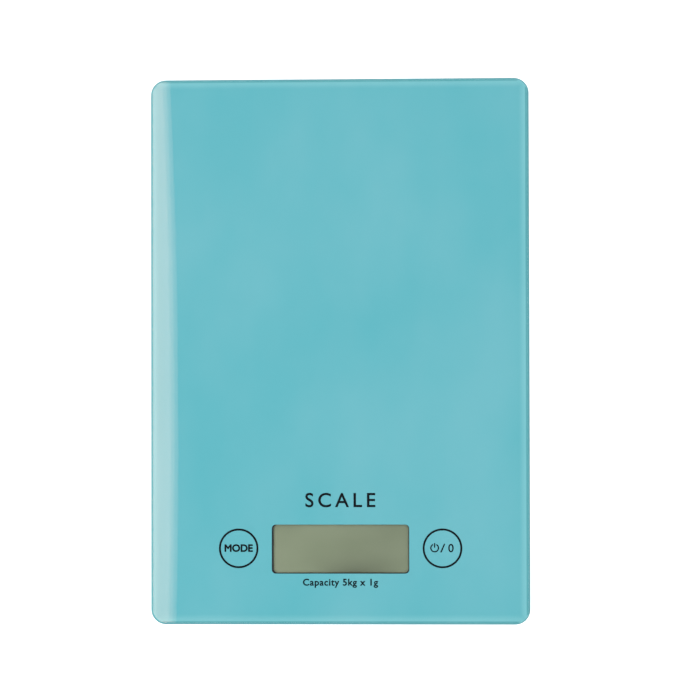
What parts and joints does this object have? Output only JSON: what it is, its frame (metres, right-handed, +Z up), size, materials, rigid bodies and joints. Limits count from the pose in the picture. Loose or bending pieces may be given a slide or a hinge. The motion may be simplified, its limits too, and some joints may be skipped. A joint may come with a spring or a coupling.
{
  "type": "kitchen scale",
  "caption": "Slim digital kitchen scale with a colour-backed glass platform, a flush display, touch keys, sprung load-cell feet and a hinged battery door.",
  "frame": {"origin": "on the table, under the middle of the platform", "axes": "+Z up, +Y away from the user (the display is on the -Y side), +X to the user's right"},
  "size_m": [0.15, 0.216, 0.017],
  "materials": {
    "clear_glass": "clear tempered glass, polished, ground edges",
    "turquoise_print": "turquoise back print under the glass",
    "display_glass": "grey-green liquid-crystal panel",
    "display_reflector": "satin reflective film",
    "white_plastic": "fine-textured white ABS",
    "black_foam": "closed-cell foam tape and elastomer",
    "grey_rubber": "matt grey rubber",
    "green_board": "solder-resist green",
    "black_resin": "glossy potting resin",
    "bright_steel": "plated steel",
    "spring_steel": "spring steel",
    "cell_steel": "nickel-plated stamped steel",
    "white_silicone": "white potting silicone",
    "tantalum_case": "moulded tantalum capacitor case",
    "black_jacket": "PVC jacket, dark grey",
    "red_jacket": "PVC jacket, red"
  },
  "bodies": {
    "housing": {"glass_platform": "clear_glass", "colour_film": "turquoise_print", "platform_tape": "black_foam", "display_gasket": "black_foam", "upper_frame": "white_plastic", "bottom_cover": "white_plastic", "circuit_board": "green_board", "controller_chip": "black_resin", "crystal": "bright_steel", "filter_capacitor": "tantalum_case", "touch_spring_left": "spring_steel", "touch_spring_right": "spring_steel", "lcd_front_polarizer": "display_glass", "lcd_upper_glass": "display_glass", "lcd_lower_glass": "display_glass", "lcd_reflector": "display_reflector", "zebra_strip": "black_foam", "lcd_holder": "white_plastic", "coin_cell": "bright_steel", "battery_contact_negative": "spring_steel", "battery_contact_positive": "spring_steel", "battery_lead_negative": "black_jacket", "battery_lead_positive": "red_jacket", "case_screw_rear": "bright_steel", "case_screw_front": "bright_steel", "case_screw_rear_left": "bright_steel", "case_screw_rear_right": "bright_steel", "case_screw_front_left": "bright_steel", "case_screw_front_right": "bright_steel", "board_screw_front_left": "bright_steel", "load_cell_front_left": "cell_steel", "strain_gauge_front_left": "white_silicone", "load_cell_cable_front_left": "black_jacket", "board_screw_front_right": "bright_steel", "load_cell_front_right": "cell_steel", "strain_gauge_front_right": "white_silicone", "load_cell_cable_front_right": "black_jacket", "board_screw_rear_left": "bright_steel", "load_cell_rear_left": "cell_steel", "strain_gauge_rear_left": "white_silicone", "load_cell_cable_rear_left": "black_jacket", "board_screw_rear_right": "bright_steel", "load_cell_rear_right": "cell_steel", "strain_gauge_rear_right": "white_silicone", "load_cell_cable_rear_right": "black_jacket"},
    "foot_front_left": {"foot_cup_front_left": "white_plastic", "foot_pad_front_left": "grey_rubber"},
    "foot_front_right": {"foot_cup_front_right": "white_plastic", "foot_pad_front_right": "grey_rubber"},
    "foot_rear_left": {"foot_cup_rear_left": "white_plastic", "foot_pad_rear_left": "grey_rubber"},
    "foot_rear_right": {"foot_cup_rear_right": "white_plastic", "foot_pad_rear_right": "grey_rubber"},
    "door": {"battery_door": "white_plastic"}
  },
  "joints": [
    {"name": "foot_press_front_left", "type": "slide", "parent": "housing", "child": "foot_front_left", "axis": [0, 0, 1], "range_m": [0, 0.0005], "stiffness_N_per_m": 25000, "deforming": ["load_cell_front_left"]},
    {"name": "foot_press_front_right", "type": "slide", "parent": "housing", "child": "foot_front_right", "axis": [0, 0, 1], "range_m": [0, 0.0005], "stiffness_N_per_m": 25000, "deforming": ["load_cell_front_right"]},
    {"name": "foot_press_rear_left", "type": "slide", "parent": "housing", "child": "foot_rear_left", "axis": [0, 0, 1], "range_m": [0, 0.0005], "stiffness_N_per_m": 25000, "deforming": ["load_cell_rear_left"]},
    {"name": "foot_press_rear_right", "type": "slide", "parent": "housing", "child": "foot_rear_right", "axis": [0, 0, 1], "range_m": [0, 0.0005], "stiffness_N_per_m": 25000, "deforming": ["load_cell_rear_right"]},
    {"name": "battery_door_hinge", "type": "hinge", "parent": "housing", "child": "door", "pos_m": [0, -0.0238, 0.0032], "axis": [1, 0, 0], "range_deg": [0, 95]}
  ]
}
